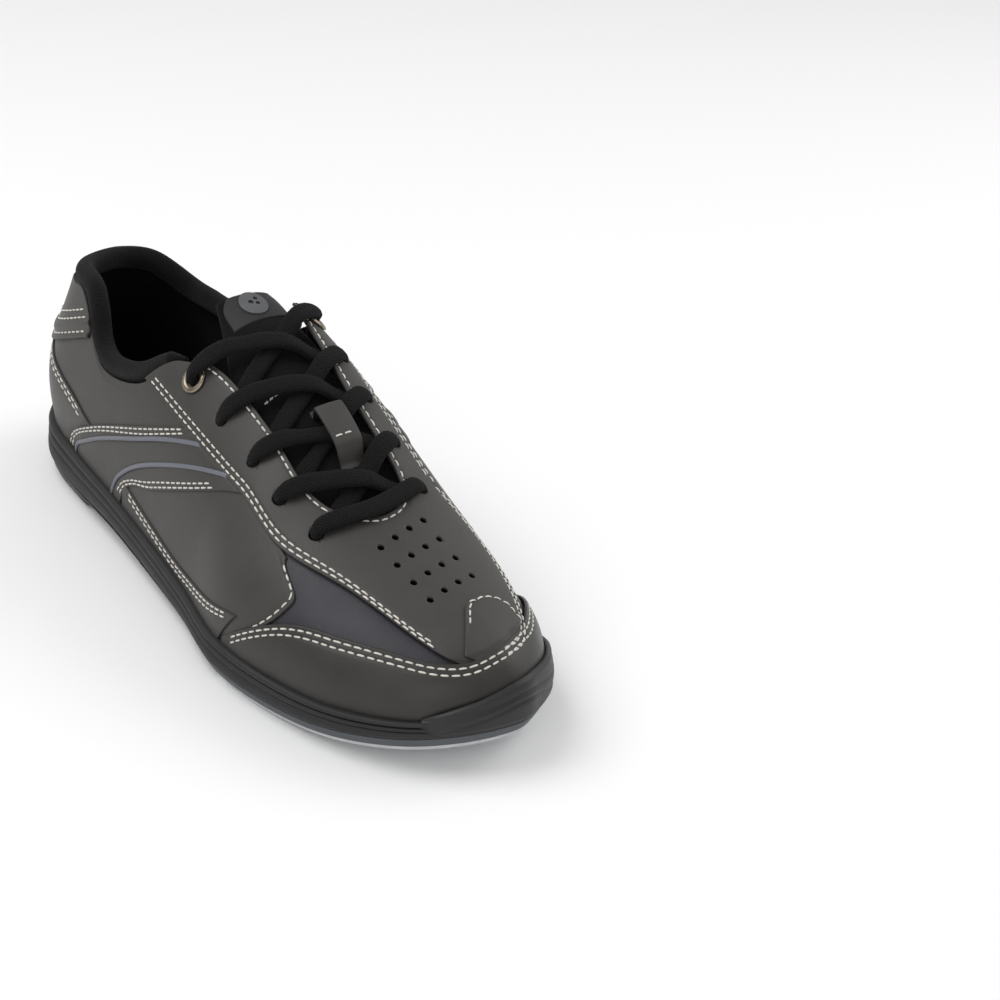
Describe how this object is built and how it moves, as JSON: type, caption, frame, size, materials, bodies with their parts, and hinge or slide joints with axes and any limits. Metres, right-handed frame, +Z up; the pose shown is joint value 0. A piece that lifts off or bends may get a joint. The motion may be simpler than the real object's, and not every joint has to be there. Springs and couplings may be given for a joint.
{
  "type": "bowling shoe",
  "caption": "Low-cut lace-up bowling shoe for the right foot, with a smooth slide pad under the forefoot, grooved rubber heel and arch, padded collar and a toe part that flexes at the ball.",
  "frame": {"origin": "centre of the shoe's footprint, on the floor", "axes": "+X towards the toe, +Y towards the inner (medial) side of the right foot, +Z up"},
  "size_m": [0.2996, 0.1108, 0.1062],
  "materials": {
    "leather_charcoal": "fine-grained full-grain leather, satin",
    "leather_dark": "smoother full-grain leather, satin",
    "leather_blue_black": "fine-grained leather, satin",
    "mesh_fabric": "knitted lining and collar fabric",
    "lace_fabric": "braided flat lace",
    "aglet_plastic": "clear-coated lace tip",
    "piping_grey": "satin moulded strip",
    "midsole_black": "moulded, fine matt texture",
    "tread_black": "moulded rubber",
    "tread_grey": "moulded rubber",
    "slide_pad_grey": "dense felt-like slide material",
    "groove_grey": "moulded",
    "pad_band_grey": "moulded",
    "steel_shank": "spring steel strip",
    "cork": "cork granulate",
    "insole_fibreboard": "pressed fibreboard",
    "stiffener_sheet": "thermoformed sheet",
    "footbed_fabric": "fabric-covered foam",
    "grommet_nickel": "antique nickel",
    "thread_off_white": null
  },
  "bodies": {
    "shoe": {"slide_pad": "slide_pad_grey", "flex_grooves": "groove_grey", "pad_edge_band": "pad_band_grey", "forefoot_rubber": "tread_grey", "heel_arch_tread": "tread_black", "centre_stripe": "tread_grey", "arch_chevrons": "tread_grey", "heel_crescent": "tread_grey", "midsole": "midsole_black", "shank": "steel_shank", "cork_filler": "cork", "insole_board": "insole_fibreboard", "footbed": "footbed_fabric", "quarter_lining": "mesh_fabric", "vamp_lining": "mesh_fabric", "heel_stiffener": "stiffener_sheet", "outer_quarter": "leather_charcoal", "inner_quarter": "leather_charcoal", "outer_side_panel": "leather_charcoal", "inner_side_panel": "leather_charcoal", "outer_underlay": "leather_blue_black", "inner_underlay": "leather_blue_black", "outer_side_band": "leather_charcoal", "inner_side_band": "leather_charcoal", "outer_piping": "piping_grey", "inner_piping": "piping_grey", "outer_foxing": "leather_dark", "inner_foxing": "leather_dark", "heel_counter": "leather_charcoal", "back_tab": "leather_charcoal", "vamp": "leather_charcoal", "inner_eyestay": "leather_charcoal", "tongue": "mesh_fabric", "lace_keeper": "leather_charcoal", "collar_padding": "mesh_fabric", "grommets": "grommet_nickel", "lace": "lace_fabric", "aglets": "aglet_plastic"},
    "toe": {"toe_cap": "leather_dark", "toe_bumper": "tread_black", "toe_puff": "stiffener_sheet", "toe_patch": "leather_charcoal"},
    "tongue_tip": {"tongue_badge": "leather_dark"}
  },
  "joints": [
    {"name": "toe_flex", "type": "hinge", "parent": "shoe", "child": "toe", "pos_m": [0.0604, 0.0035, 0.008], "axis": [0, -1, 0], "range_deg": [0, 30], "stiffness_Nm_per_rad": 4, "deforming": ["slide_pad", "flex_grooves", "forefoot_rubber", "midsole", "cork_filler", "insole_board", "footbed", "vamp_lining", "vamp", "toe_cap", "outer_underlay", "inner_underlay", "outer_side_panel", "inner_side_panel", "outer_foxing", "inner_foxing"]},
    {"name": "tongue_tilt", "type": "hinge", "parent": "shoe", "child": "tongue_tip", "pos_m": [-0.0196, 0.0095, 0.0925], "axis": [0, 1, 0], "range_deg": [-6, 25], "stiffness_Nm_per_rad": 0.02, "deforming": ["tongue"]}
  ]
}
